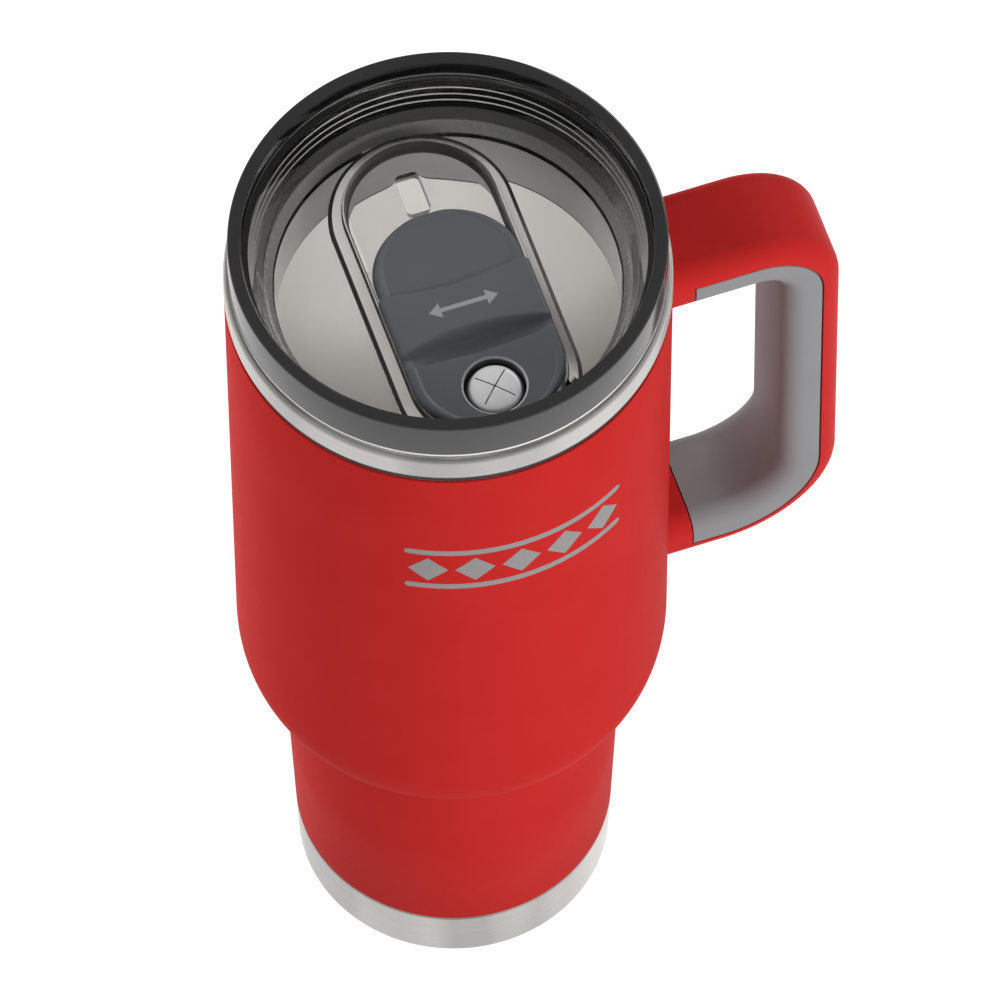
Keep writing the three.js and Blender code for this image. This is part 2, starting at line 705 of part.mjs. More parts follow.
// Retainer: a stem through the lid's slot with a wide foot under the floor.
function sliderClip() {
  const { halfWidth, overhang, bottom } = CLIP_FOOT;
  const footTop = UNDER_FLOOR_Z - GAP;
  const stem = raisedSolid(roundedSlot(CLIP), (bottom + footTop) / 2, CLIP_TOP_Z, 6);
  const low = [-halfWidth, CLIP.front - overhang, bottom];
  return stem.add(boxSolid(low, [halfWidth, CLIP.rear + overhang, footTop]));
}

// Clear valve in the slider's hole: a shallow dome cut by a cross that a straw pushes through.
function strawValve() {
  const { edge, flangeBottom, flangeTop, top, wall } = VALVE;
  const flangeRadius = VALVE_HOLE_RADIUS - GAP;
  const profile = [
    [0, flangeTop - 0.3],
    [edge - wall, flangeTop - 0.7],
    [edge - wall, flangeBottom],
    [flangeRadius, flangeBottom],
    [flangeRadius, flangeTop],
    [edge + 0.2, flangeTop + 0.3],
    [edge, flangeTop + wall],
    [edge * 0.75, top - 0.4],
    [edge * 0.4, top - 0.1],
    [0, top],
  ];
  const dome = turned(profile, SMALL_SEGMENTS).translate(0, PORT_Y, 0);
  const slit = (angle) => {
    const height = CUT_TOP_Z - SLIT.bottom;
    const cutter = new THREE.BoxGeometry(2 * SLIT.halfLength, 2 * SLIT.halfWidth, height);
    return toSolid(cutter.rotateZ(angle).translate(0, PORT_Y, SLIT.bottom + height / 2));
  };
  return toSolid(dome).subtract(slit(Math.PI / 4)).subtract(slit(-Math.PI / 4));
}

// ---------- assembly ----------

function mesh(name, shape, material) {
  const geometry = shape.isBufferGeometry ? shape : toGeometry(shape);
  const made = new THREE.Mesh(geometry, material);
  made.name = name;
  return made;
}

function bodyGroup() {
  const group = new THREE.Group();
  group.add(
    mesh("outer_shell", outerShell(), redCoat),
    mesh("base_cup", baseCup(), bareSteel),
    mesh("vacuum_bottom", vacuumBottom(), bareSteel),
    mesh("vacuum_seal", vacuumSeal(), bareSteel),
    mesh("vacuum_getter", vacuumGetter(), bareSteel),
    mesh("inner_liner", innerLiner(), bareSteel),
    mesh("neck_ring", neckRing(), bareSteel),
    mesh("neck_seam", neckSeam(), darkSeam),
  );
  return group;
}

function handleGroup() {
  const group = new THREE.Group();
  group.add(mesh("handle_shell", handleShell(), redPlastic));
  group.add(mesh("handle_grip", handleGrip(), greyGrip));
  for (const arm of ARMS) {
    group.add(mesh(`handle_${arm.name}_bracket`, bracket(arm), bareSteel));
    group.add(mesh(`handle_${arm.name}_screw`, screw(arm), bareSteel));
  }
  return group;
}

function lidGroup() {
  const group = new THREE.Group();
  const sliding = new THREE.Group();
  sliding.add(
    mesh("slider", slider(), charcoal),
    mesh("slider_seal", sliderSeal(), blackSilicone),
    mesh("slider_clip", sliderClip(), charcoal),
    mesh("straw_valve", strawValve(), clearSilicone),
  );
  group.add(
    mesh("lid_body", lidBody(), smokeClear),
    mesh("lid_gasket", lidGasket(), blackSilicone),
    sliding,
  );
  return group;
}

const mug = new THREE.Group();
mug.add(bodyGroup(), handleGroup(), lidGroup());

export default mug;
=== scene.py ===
"""The insulated travel mug's looks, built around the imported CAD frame.

Metres in Blender; the shape numbers below are millimetres and are turned into metres by MM.
The mug stands on the origin with its handle along +X and its drinking end along -Y.
"""

import math

import bmesh
import bpy
from mathutils import Matrix, Vector


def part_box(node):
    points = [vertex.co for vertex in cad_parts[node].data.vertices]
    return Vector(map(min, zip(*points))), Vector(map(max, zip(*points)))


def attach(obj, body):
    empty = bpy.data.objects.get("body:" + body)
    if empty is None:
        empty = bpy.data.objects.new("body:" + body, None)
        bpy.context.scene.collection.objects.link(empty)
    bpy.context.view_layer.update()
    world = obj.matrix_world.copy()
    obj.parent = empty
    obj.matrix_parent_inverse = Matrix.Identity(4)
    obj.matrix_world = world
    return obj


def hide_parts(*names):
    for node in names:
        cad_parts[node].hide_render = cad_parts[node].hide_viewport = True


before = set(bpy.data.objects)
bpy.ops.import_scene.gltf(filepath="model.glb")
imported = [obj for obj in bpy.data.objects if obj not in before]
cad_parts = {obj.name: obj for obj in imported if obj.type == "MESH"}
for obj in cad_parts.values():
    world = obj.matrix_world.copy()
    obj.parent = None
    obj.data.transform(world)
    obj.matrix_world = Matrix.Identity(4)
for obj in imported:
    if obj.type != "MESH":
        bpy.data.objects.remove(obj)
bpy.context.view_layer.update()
MM = 0.001


def top_of(node):
    """Height of a CAD node's top, in millimetres."""
    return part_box(node)[1].z / MM


def bottom_of(node):
    """Height of a CAD node's underside, in millimetres."""
    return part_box(node)[0].z / MM


def radius_of(node):
    """How far a CAD node reaches along Y, in millimetres."""
    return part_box(node)[1].y / MM


# ---------- driving sizes, in millimetres ----------

BASE_R = 36.5
BAND_Z = 15.8
CREASE_R, CREASE_Z = 39.6, 85.8
SHOULDER_R, SHOULDER_Z = 49.7, 103.4
SHOULDER_POWER = 2.2
COAT_R = radius_of("outer_shell")
COAT_Z = top_of("outer_shell")
RING_Z = bottom_of("neck_ring")
RING_TOP = top_of("neck_ring")
RING_R = radius_of("neck_ring")
WALL = 0.6
LINER_GAP = 2.8
LINER_WALL = 0.5
NECK_R = 48.0
LIP_Z = top_of("inner_liner")

HANDLE_LOW, HANDLE_HIGH = bottom_of("handle_shell"), top_of("handle_shell")
HANDLE_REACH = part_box("handle_shell")[1].x / MM
HANDLE_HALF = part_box("handle_shell")[1].y / MM
HANDLE_DEPTH = 14.0
HANDLE_EDGE = 5.0
SHELL_DEPTH = 5.2
SPLIT_EDGE = 0.25  # rounding where the handle's two halves meet
TOP_BEND, BOTTOM_BEND = 21.2, 28.3
ARM_START = 44.0  # inside the wall, where the arms are cut off
GRIP_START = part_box("handle_grip")[0].x / MM
GAP = 0.3

LID_TOP = top_of("lid_body")
LID_R = radius_of("lid_body")
FLOOR_Z = 243.8
FLOOR_DEPTH = 2.3
POCKET_Z = 244.3
PLUG_BOTTOM = bottom_of("lid_body")
PLUG_R = 40.85
TRACK_REAR, TRACK_FRONT = 17.8, -27.0
PORT_Y, PORT_R = -32.2, 6.3
VENT = {"half": 2.85, "front": 19.3, "rear": 29.9, "corner": 1.3}
CLIP_SLOT = {"half": 2.8, "front": -14.4, "rear": 12.6, "corner": 2.79}
CLIP_REAR = -5.4  # the rear end of the clip's room in the slider

SLIDER_FRONT = -27.0  # where the front's half-oval starts; the rear one starts at 0
SLIDER_END = 15.2  # length of each half-oval
SLIDER_REAR_HALF, SLIDER_HALF = 17.2, 17.9
SLIDER_EDGE = 1.15
SLIDER_REAR_Z, SLIDER_BAND_Z, SLIDER_NOSE_Z = 250.75, 251.25, 250.5
CRESCENT_DEPTH = 2.1
VALVE_HOLE_R = 7.1
VALVE_EDGE_R = 5.9
HOLE_SLOPE = 0.9  # width of the small slope round the valve's hole

# ---------- mesh helpers ----------


def new_object(name, verts, faces, sharp_deg=35.0):
    """A smooth-shaded mesh object, with edges sharper than sharp_deg kept crisp."""
    mesh = bpy.data.meshes.new(name)
    mesh.from_pydata([tuple(c * MM for c in v) for v in verts], [], faces)
    obj = bpy.data.objects.new(name, mesh)
    bpy.context.scene.collection.objects.link(obj)
    clean(obj, sharp_deg)
    return obj


def clean(obj, sharp_deg=35.0):
    """Merges doubled points, turns faces outwards, and sets smooth shading with crisp edges."""
    bm = bmesh.new()
    bm.from_mesh(obj.data)
    bmesh.ops.remove_doubles(bm, verts=bm.verts, dist=1e-7)
    bmesh.ops.recalc_face_normals(bm, faces=bm.faces)
    limit = math.radians(sharp_deg)
    for face in bm.faces:
        face.smooth = True
    for edge in bm.edges:
        angle = edge.calc_face_angle(0.0) if len(edge.link_faces) == 2 else 0.0
        edge.smooth = angle < limit
    bm.to_mesh(obj.data)
    bm.free()


def arc(cx, cy, radius, start, end, steps):
    """Points on a circular arc, angles in degrees."""
    angles = [math.radians(start + (end - start) * i / steps) for i in range(steps + 1)]
    return [(cx + radius * math.cos(a), cy + radius * math.sin(a)) for a in angles]


def rounded(points, radii, steps=5, closed=True):
    """A polygon with its corners rounded; radii gives one radius for each corner."""
    made = []
    count = len(points)
    for i, point in enumerate(points):
        if radii[i] == 0 or (not closed and i in (0, count - 1)):
            made.append(point)
            continue
        p = Vector(point)
        a = Vector(points[i - 1]) - p
        b = Vector(points[(i + 1) % count]) - p
        a_dir, b_dir = a.normalized(), b.normalized()
        half = a_dir.angle(b_dir) / 2
        reach = min(radii[i] / math.tan(half), a.length * 0.49, b.length * 0.49)
        start, end = p + a_dir * reach, p + b_dir * reach
        for step in range(steps + 1):
            t = step / steps
            made.append(tuple(start * (1 - t) ** 2 + p * 2 * t * (1 - t) + end * t * t))
    return made


def turn(name, profile, segments=192, rear=0.0, front=0.0, sharp_deg=35.0):
    """Turns a closed (radius, z) profile round Z. A profile that starts and ends on the axis
    closes on itself there. With rear and front, its halves are pulled apart along Y."""
    on_axis = profile[0][0] == 0
    rows = len(profile)
    verts = []
    for i in range(segments):
        angle = 2 * math.pi * (i + 0.5) / segments
        shift = rear if math.sin(angle) > 0 else front
        verts += [(r * math.cos(angle), r * math.sin(angle) + shift, z) for r, z in profile]
    faces = []
    for i in range(segments):
        a, b = i * rows, ((i + 1) % segments) * rows
        for j in range(rows - 1 if on_axis else rows):
            k = (j + 1) % rows
            faces.append((a + j, b + j, b + k, a + k))
    return new_object(name, verts, faces, sharp_deg)


def raise_shape(name, outline, bottom, top, sharp_deg=35.0):
    """A flat outline of (x, y) points raised from bottom to top."""
    count = len(outline)
    verts = [(x, y, bottom) for x, y in outline] + [(x, y, top) for x, y in outline]
    faces = [tuple(range(count))[::-1], tuple(range(count, 2 * count))]
    faces += [(i, (i + 1) % count, count + (i + 1) % count, count + i) for i in range(count)]
    return new_object(name, verts, faces, sharp_deg)


def combine(obj, other, operation, solver="EXACT"):
    """Joins, cuts or intersects two solids and removes the second."""
    modifier = obj.modifiers.new("cut", "BOOLEAN")
    modifier.object = other
    modifier.operation = operation
    modifier.solver = solver
    apply_modifiers(obj)
    bpy.data.objects.remove(other)
    return obj


def apply_modifiers(obj):
    """Keeps the modified mesh as the object's own."""
    graph = bpy.context.evaluated_depsgraph_get()
    mesh = bpy.data.meshes.new_from_object(obj.evaluated_get(graph))
    obj.modifiers.clear()
    old = obj.data
    obj.data = mesh
    bpy.data.meshes.remove(old)


def finish_piece(obj, body, material, slot, *nodes):
    """Gives a piece its material and its body, and hides the CAD nodes it stands for; slot is not
    used.
    """
    obj.data.materials.clear()
    obj.data.materials.append(material)
    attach(obj, body)
    if nodes:
        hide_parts(*nodes)
    return obj


# ---------- material helpers ----------


def new_material(name, **sockets):
    """A Principled material, with its node tree, its shader and object-space coordinates.
    A socket's name is written with underscores for its spaces."""
    material = bpy.data.materials.new(name)
    material.use_nodes = True
    tree = material.node_tree
    shader = tree.nodes["Principled BSDF"]
    for socket, value in sockets.items():
        shader.inputs[socket.replace("_", " ")].default_value = value
    coordinates = tree.nodes.new("ShaderNodeTexCoord")
    return material, tree, shader, coordinates.outputs["Object"]


def add(tree, kind, inputs=None, **settings):
    """A node with its settings made, and each input linked to a socket or set to a value."""
    node = tree.nodes.new(kind)
    for key, value in settings.items():
        setattr(node, key, value)
    for key, value in (inputs or {}).items():
        if isinstance(value, bpy.types.NodeSocket):
            tree.links.new(value, node.inputs[key])
        else:
            node.inputs[key].default_value = value
    return node


def noise(tree, vector, scale, detail=3.0, roughness=0.5):
    """Grey noise at so many cells to the metre."""
    inputs = {"Vector": vector, "Scale": scale, "Detail": detail, "Roughness": roughness}
    return add(tree, "ShaderNodeTexNoise", inputs).outputs["Fac"]


def remap(tree, value, low, high, to_low, to_high):
    """A value's range carried over to another range, and kept inside it."""
    inputs = {"Value": value, 1: low, 2: high, 3: to_low, 4: to_high}
    return add(tree, "ShaderNodeMapRange", inputs).outputs["Result"]


def blend_colors(tree, factor, first, second):
    """The first colour at factor 0 and the second at factor 1."""
    node = add(tree, "ShaderNodeMix", data_type="RGBA")
    for socket, value in ((0, factor), (6, first), (7, second)):
        if isinstance(value, bpy.types.NodeSocket):
            tree.links.new(value, node.inputs[socket])
        else:
            node.inputs[socket].default_value = value
    return node.outputs[2]


def bump(tree, shader, height, strength, distance):
    """Relief on the shader's surface; distance is in metres."""
    inputs = {"Height": height, "Strength": strength, "Distance": distance}
    node = add(tree, "ShaderNodeBump", inputs)
    tree.links.new(node.outputs["Normal"], shader.inputs["Normal"])


def stretched_coordinates(tree, vector, scale):
    """Coordinates scaled along each axis, so that a noise comes out as lines."""
    return add(tree, "ShaderNodeMapping", {"Vector": vector, "Scale": scale}).outputs[0]


# ---------- materials ----------


def powder_coat(name, color, dark):
    """Fine satin powder coat: tiny pebbled bumps and very slight mottling."""
    material, tree, shader, vector = new_material(name, Specular_IOR_Level=0.006)
    mottling = noise(tree, vector, 60.0, 4.0)
    tint = blend_colors(tree, remap(tree, mottling, 0.35, 0.65, 0.0, 1.0), dark, color)
    tree.links.new(tint, shader.inputs["Base Color"])
    grain = noise(tree, vector, 2600.0, 2.0, 0.6)
    tree.links.new(remap(tree, grain, 0.3, 0.7, 0.42, 0.56), shader.inputs["Roughness"])
    bump(tree, shader, grain, 0.25, 0.00006)
    return material


def brushed_steel(name, color, shade, roughness, metallic):
    """Steel brushed round the mug: fine lines at constant height, and soft upright light and dark
    streaks painted into its colour, a painted reflection where the brushing catches the light."""
    material, tree, shader, vector = new_material(name, Metallic=metallic)
    lines = noise(tree, stretched_coordinates(tree, vector, (18.0, 18.0, 6500.0)), 1.0, 4.0, 0.65)
    # painted reflection: upright light and dark streaks in the base colour
    painted_reflection_streaks = noise(tree, stretched_coordinates(tree, vector, (42.0, 42.0, 3.0)), 1.0, 1.5)
    base = blend_colors(tree, remap(tree, painted_reflection_streaks, 0.38, 0.62, 0.0, 1.0), shade, color)
    fine = remap(tree, lines, 0.35, 0.65, 0.0, 0.12)
    tint = blend_colors(tree, fine, base, shade)
    tree.links.new(tint, shader.inputs["Base Color"])
    rough = remap(tree, lines, 0.35, 0.65, roughness + 0.05, roughness - 0.05)
    tree.links.new(rough, shader.inputs["Roughness"])
    bump(tree, shader, lines, 0.1, 0.00003)
    return material


def moulded_plastic(name, color, dark, roughness, grain_scale=1800.0, grain=0.2, specular=0.4):
    """Moulded plastic or soft rubber: a fine even texture from the mould."""
    material, tree, shader, vector = new_material(name, Specular_IOR_Level=specular)
    mottling = noise(tree, vector, 45.0, 3.0)
    tint = blend_colors(tree, remap(tree, mottling, 0.3, 0.7, 0.0, 1.0), dark, color)
    tree.links.new(tint, shader.inputs["Base Color"])
    texture = noise(tree, vector, grain_scale, 2.0, 0.55)
    rough = remap(tree, texture, 0.3, 0.7, roughness - 0.05, roughness + 0.06)
    tree.links.new(rough, shader.inputs["Roughness"])
    bump(tree, shader, texture, grain, 0.00005)
    return material


def clear_plastic(name, tint, density, roughness=0.02, milky=0.0, clarity=1.0):
    """See-through plastic whose thick parts look darker. It lets lamp light straight through."""
    material, tree, shader, vector = new_material(name, IOR=1.5)
    shader.inputs["Base Color"].default_value = (clarity, clarity, clarity, 1.0)
    shader.inputs["Transmission Weight"].default_value = 1.0 - milky
    smears = noise(tree, vector, 35.0, 3.0)
    rough = remap(tree, smears, 0.4, 0.7, roughness, roughness + 0.03)
    tree.links.new(rough, shader.inputs["Roughness"])
    ripple = noise(tree, vector, 120.0, 2.0)
    bump(tree, shader, ripple, 0.05, 0.0001)
    output = tree.nodes["Material Output"]
    path = add(tree, "ShaderNodeLightPath")
    through = add(tree, "ShaderNodeBsdfTransparent", {"Color": (0.92, 0.92, 0.91, 1.0)})
    mixed = add(tree, "ShaderNodeMixShader")
    tree.links.new(path.outputs["Is Shadow Ray"], mixed.inputs[0])
    tree.links.new(shader.outputs[0], mixed.inputs[1])
    tree.links.new(through.outputs[0], mixed.inputs[2])
    tree.links.new(mixed.outputs[0], output.inputs["Surface"])
    volume = add(tree, "ShaderNodeVolumeAbsorption", {"Color": tint, "Density": density})
    tree.links.new(volume.outputs[0], output.inputs["Volume"])
    return material


RED = powder_coat("red_powder_coat", (0.45, 0.02, 0.018, 1.0), (0.437, 0.018, 0.016, 1.0))
RED_PLASTIC = moulded_plastic(
    "red_satin_plastic", (0.47, 0.021, 0.02, 1.0), (0.455, 0.019, 0.018, 1.0), 0.45,
    specular=0.02,
)
GREY_GRIP = moulded_plastic(
    "grey_soft_grip", (0.23, 0.235, 0.242, 1.0), (0.217, 0.222, 0.229, 1.0), 0.6, 2200.0, 0.3, 0.1
)
STEEL = brushed_steel(
    "brushed_steel", (0.60, 0.585, 0.56, 1.0), (0.36, 0.35, 0.335, 1.0), 0.32, 0.55
)
RING_STEEL = brushed_steel(
    "ring_steel", (0.50, 0.488, 0.47, 1.0), (0.36, 0.352, 0.338, 1.0), 0.32, 0.5
)
# a lighter copy of the bare steel: painted light on the vessel's inside
LIT_LINER_STEEL = brushed_steel(
    "lit_liner_steel", (0.89, 0.87, 0.845, 1.0), (0.84, 0.82, 0.795, 1.0), 0.42, 0.3
)
# near-black: the mouth's dark seam, and painted shade inside the valve's slits
SEAM_AND_SLIT_SHADE = moulded_plastic("dark_seam", (0.02, 0.018, 0.016, 1.0), (0.014, 0.013, 0.012, 1.0), 0.6)
SILICONE = moulded_plastic(
    "black_silicone", (0.006, 0.006, 0.006, 1.0), (0.01, 0.01, 0.01, 1.0), 0.4, specular=0.12
)
GREY_SILICONE = moulded_plastic(
    "grey_silicone", (0.075, 0.074, 0.07, 1.0), (0.062, 0.061, 0.058, 1.0), 0.35
)
CHARCOAL = moulded_plastic(
    "charcoal_plastic", (0.137, 0.141, 0.154, 1.0), (0.127, 0.131, 0.144, 1.0), 0.42, 1500.0,
    0.25, 0.25,
)
SMOKE = clear_plastic("smoke_clear_plastic", (0.30, 0.30, 0.29, 1.0), 50.0)
# a darker tint of the lid's clear plastic: painted shade on its wall
WALL_PLASTIC_SHADE = clear_plastic("wall_plastic_painted_shade", (0.30, 0.30, 0.29, 1.0), 22.0, clarity=0.38)
# opaque near-black on the ridge's feet: painted shade
RIDGE_FOOT_SHADE = moulded_plastic(
    "ridge_foot_painted_shade", (0.05, 0.048, 0.045, 1.0), (0.04, 0.038, 0.036, 1.0), 0.2,
    700.0, 0.03, 0.5,
)
# opaque grey in the well's corner: painted light in place of what is seen through the clear plastic
CORNER_PAINTED_LIGHT = moulded_plastic(
    "corner_painted_light", (0.25, 0.246, 0.24, 1.0), (0.225, 0.221, 0.215, 1.0), 0.25,
    700.0, 0.03, 0.3,
)
# opaque near-black: painted shade on the lid's band and rim, and round the valve's dome
DARK_PAINTED_SHADE = moulded_plastic(
    "dark_painted_shade", (0.03, 0.03, 0.03, 1.0), (0.026, 0.026, 0.026, 1.0), 0.09,
    700.0, 0.03, 0.42,
)
# painted highlight: pale lines on the black gasket's ribs
RIB_PAINTED_HIGHLIGHT = moulded_plastic(
    "rib_painted_highlight", (0.76, 0.745, 0.72, 1.0), (0.70, 0.685, 0.66, 1.0), 0.35
)
# painted glint: a bright line along the band's lower edge
BAND_PAINTED_GLINT = moulded_plastic(
    "band_painted_glint", (0.72, 0.71, 0.70, 1.0), (0.66, 0.65, 0.64, 1.0), 0.2
)
VALVE_CLEAR = clear_plastic("clear_silicone", (0.8, 0.8, 0.78, 1.0), 20.0, 0.12, 0.9)
# painted highlight on the slope round the valve's hole
HOLE_PAINTED_HIGHLIGHT = moulded_plastic(
    "bright_edge", (0.56, 0.56, 0.58, 1.0), (0.5, 0.5, 0.52, 1.0), 0.3
)
PRINT = moulded_plastic(
    "grey_print", (0.235, 0.222, 0.222, 1.0), (0.22, 0.207, 0.207, 1.0), 0.5, specular=0.2
)
SLIDER_PRINT = moulded_plastic(
    "light_grey_print", (0.40, 0.40, 0.43, 1.0), (0.36, 0.36, 0.39, 1.0), 0.5, specular=0.2
)

# ---------- body ----------


def outside_radius(z):
    """Outside of the mug below the mouth: slim foot, rounded shoulder, nearly straight wall."""
    if z <= CREASE_Z:
        return BASE_R + (CREASE_R - BASE_R) * z / CREASE_Z
    if z < SHOULDER_Z:
        down = (SHOULDER_Z - z) / (SHOULDER_Z - CREASE_Z)
        out = (1 - down**SHOULDER_POWER) ** (1 / SHOULDER_POWER)
        return CREASE_R + (SHOULDER_R - CREASE_R) * out
    return SHOULDER_R + (COAT_R - SHOULDER_R) * (z - SHOULDER_Z) / (COAT_Z - SHOULDER_Z)


def wall_profile(bottom, top, offset, lift=0.0, shoulder_steps=22):
    """(radius, z) points up the outside, moved in by offset, with the shoulder raised by lift."""
    points = [(outside_radius(bottom) - offset, bottom)]
    points.append((outside_radius((bottom + CREASE_Z) / 2) - offset, (bottom + CREASE_Z) / 2))
    shoulder = [(outside_radius(CREASE_Z - 1.2), CREASE_Z - 1.2)]
    for i in range(shoulder_steps + 1):
        turn_angle = math.pi / 2 * i / shoulder_steps
        z = CREASE_Z + (SHOULDER_Z - CREASE_Z) * (1 - math.cos(turn_angle))
        shoulder.append((outside_radius(z), z))
    points += [(r - offset, z + lift) for r, z in shoulder]
    for i in range(1, 5):
        z = SHOULDER_Z + (top - SHOULDER_Z) * i / 5
        points.append((outside_radius(z) - offset, z))
    points.append((outside_radius(top) - offset, top))
    return points


def build_outer_shell():
    bottom = bottom_of("outer_shell")
    outside = wall_profile(bottom + 0.3, COAT_Z - 0.35, 0.0)
    lip = arc(COAT_R - 0.35, COAT_Z - 0.35, 0.35, 20, 90, 4)
    inside = wall_profile(bottom, COAT_Z, WALL)[::-1]
    foot = [(outside_radius(bottom) - 0.3, bottom)]
    shell = turn("coated_wall", outside + lip + inside + foot, 256, sharp_deg=50)
    return finish_piece(shell, "mug", RED, "red_coat", "outer_shell")


def build_base_cup():
    """The steel foot: a shallow recess below, a collar that goes up inside the coated wall."""
    top = BAND_Z - GAP / 2
    collar = outside_radius(BAND_Z) - WALL - GAP - 0.05
    collar_wall, collar_top = 0.8, BAND_Z + 4
    round_edge, recess, floor_top = 0.6, 0.6, 1.8
    profile = [(0, recess), (BASE_R - 6, recess), (BASE_R - 5.2, 0.0), (BASE_R - 0.8, 0.0)]
    profile += arc(BASE_R - round_edge, round_edge, round_edge, -80, 0, 6)
    profile += [(outside_radius(top - 0.3), top - 0.3), (outside_radius(top) - 0.3, top)]
    profile += [(collar, top), (collar, collar_top), (collar - collar_wall, collar_top)]
    profile += [(collar - collar_wall, floor_top), (0, floor_top)]
    cup = turn("steel_foot", profile, 256, sharp_deg=40)
    return finish_piece(cup, "mug", STEEL, "bare_steel", "base_cup")


def build_neck():
    inside = NECK_R + GAP
    corner = 1.0
    crown = [(inside, RING_Z), (RING_R, RING_Z), (RING_R, RING_TOP - 1.2)]
    crown += arc(RING_R - corner, RING_TOP - corner, corner, 15, 100, 7)
    crown += [(inside + 0.8, RING_TOP - 0.05), (inside, RING_TOP - 0.3)]
    ring = turn("mouth_ring", crown, 256, sharp_deg=40)
    finish_piece(ring, "mug", RING_STEEL, "bare_steel", "neck_ring")
    seam_in, seam_out = NECK_R + 0.7, radius_of("neck_seam")
    low, high = bottom_of("neck_seam"), top_of("neck_seam")
    box = [(seam_in, low), (seam_out, low), (seam_out, high), (seam_in, high)]
    seam = turn("mouth_seam", rounded(box, [0.1] * 4, 2), 256)
    finish_piece(seam, "mug", SEAM_AND_SLIT_SHADE, "dark_seam", "neck_seam")


def build_liner():
    floor, bowl_r = bottom_of("inner_liner"), 8
    start, neck_start = floor + bowl_r, 246.5
    outside = wall_profile(start, 236, WALL + LINER_GAP, LINER_GAP)
    neck = [(NECK_R, neck_start), (NECK_R, LIP_Z - 0.6)]
    lip = arc(NECK_R - 0.3, LIP_Z - 0.35, 0.3, 0, 180, 6)
    neck_in = [(NECK_R - 0.6, neck_start)]
    inside = [(r - LINER_WALL, z) for r, z in outside[::-1]]
    flat_r = outside[0][0] - bowl_r
    bowl = [(0, floor), (flat_r, floor)] + arc(flat_r, start, bowl_r, -75, -15, 6)
    bowl_in = [(r - LINER_WALL if r else 0, z + LINER_WALL) for r, z in bowl[::-1]]
    profile = bowl + outside + neck + lip + neck_in + inside + bowl_in
    liner = turn("inner_vessel", profile, 256, sharp_deg=50)
    finish_piece(liner, "mug", LIT_LINER_STEEL, "bare_steel", "inner_liner")
    # the neck gets the darker bare steel: painted shade under the lid, against the vessel's lighter
    # copy
    paint(liner, STEEL, lambda x, y, z: z > neck_start + 0.5)


# ---------- handle ----------


def handle_path(depth, start_x):
    """(x, z, outward x, outward z) along the C at a depth in from its outer face."""
    top, bottom, grip = HANDLE_HIGH - depth, HANDLE_LOW + depth, HANDLE_REACH - depth
    upper, lower = TOP_BEND - depth, BOTTOM_BEND - depth
    path = [(start_x, top, 0, 1), ((start_x + grip - upper) / 2, top, 0, 1)]
    for i in range(17):
        a = math.radians(90 - 90 * i / 16)
        x, z = grip - upper + upper * math.cos(a), top - upper + upper * math.sin(a)
        path.append((x, z, math.cos(a), math.sin(a)))
    for i in range(1, 4):
        z = (top - upper) + (bottom + lower - top + upper) * i / 4
        path.append((grip, z, 1, 0))
    for i in range(17):
        a = math.radians(-90 * i / 16)
        x, z = grip - lower + lower * math.cos(a), bottom + lower + lower * math.sin(a)
        path.append((x, z, math.cos(a), math.sin(a)))
    path += [((start_x + grip - lower) / 2, bottom, 0, -1), (start_x, bottom, 0, -1)]
    return path


def handle_section(from_depth, to_depth, outer_radius, inner_radius, steps=7, inset=0.0):
    """(depth, across) points of the handle's section between two depths."""
    half = HANDLE_HALF - inset
    corners = [(from_depth, -half), (to_depth, -half), (to_depth, half), (from_depth, half)]
    turns = [(180, 270), (270, 360), (0, 90), (90, 180)]
    radii = [outer_radius, inner_radius, inner_radius, outer_radius]
    points = []
    for (depth, across), (start, end), radius in zip(corners, turns, radii):
        cx = depth + radius if depth == from_depth else depth - radius
        cy = across + radius if across < 0 else across - radius
        points += arc(cx, cy, radius, start, end, steps)
    return points


def sweep_handle(name, section, start_x):
    """A section carried along the C."""
    base = handle_path(0.0, start_x)
    verts = []
    for x, z, out_x, out_z in base:
        verts += [(x - out_x * d, across, z - out_z * d) for d, across in section]
    rows, count = len(base), len(section)
    faces = [
        (i * count + j, i * count + (j + 1) % count, (i + 1) * count + (j + 1) % count,
         (i + 1) * count + j)
        for i in range(rows - 1) for j in range(count)
    ]
    faces += [tuple(range(count))[::-1], tuple((rows - 1) * count + j for j in range(count))]
    return new_object(name, verts, faces)


def envelope(grow):
    """The mug's outside as a filled solid, grown by a distance."""
    low, high = 20, COAT_Z + 3
    side = [(r + grow, z) for r, z in wall_profile(low, high, 0.0)]
    return turn("envelope", [(0, low)] + side + [(0, high)], 128)


def arm_block(sign, edge):
    """Full-depth start of an arm, from the mug to the grip. It is a little smaller than the C
    and starts a little further out, so that they share no plane."""
    inset, further = 0.02, 0.7
    section = handle_section(inset, HANDLE_DEPTH, HANDLE_EDGE, HANDLE_EDGE, inset=inset)
    ends = (ARM_START + further, GRIP_START - GAP)
    verts = [(x, across, edge + sign * d) for x in ends for d, across in section]
    count = len(section)
    faces = [(j, (j + 1) % count, count + (j + 1) % count, count + j) for j in range(count)]
    faces += [tuple(range(count)), tuple(range(count, 2 * count))]
    return new_object("arm_block", verts, faces)


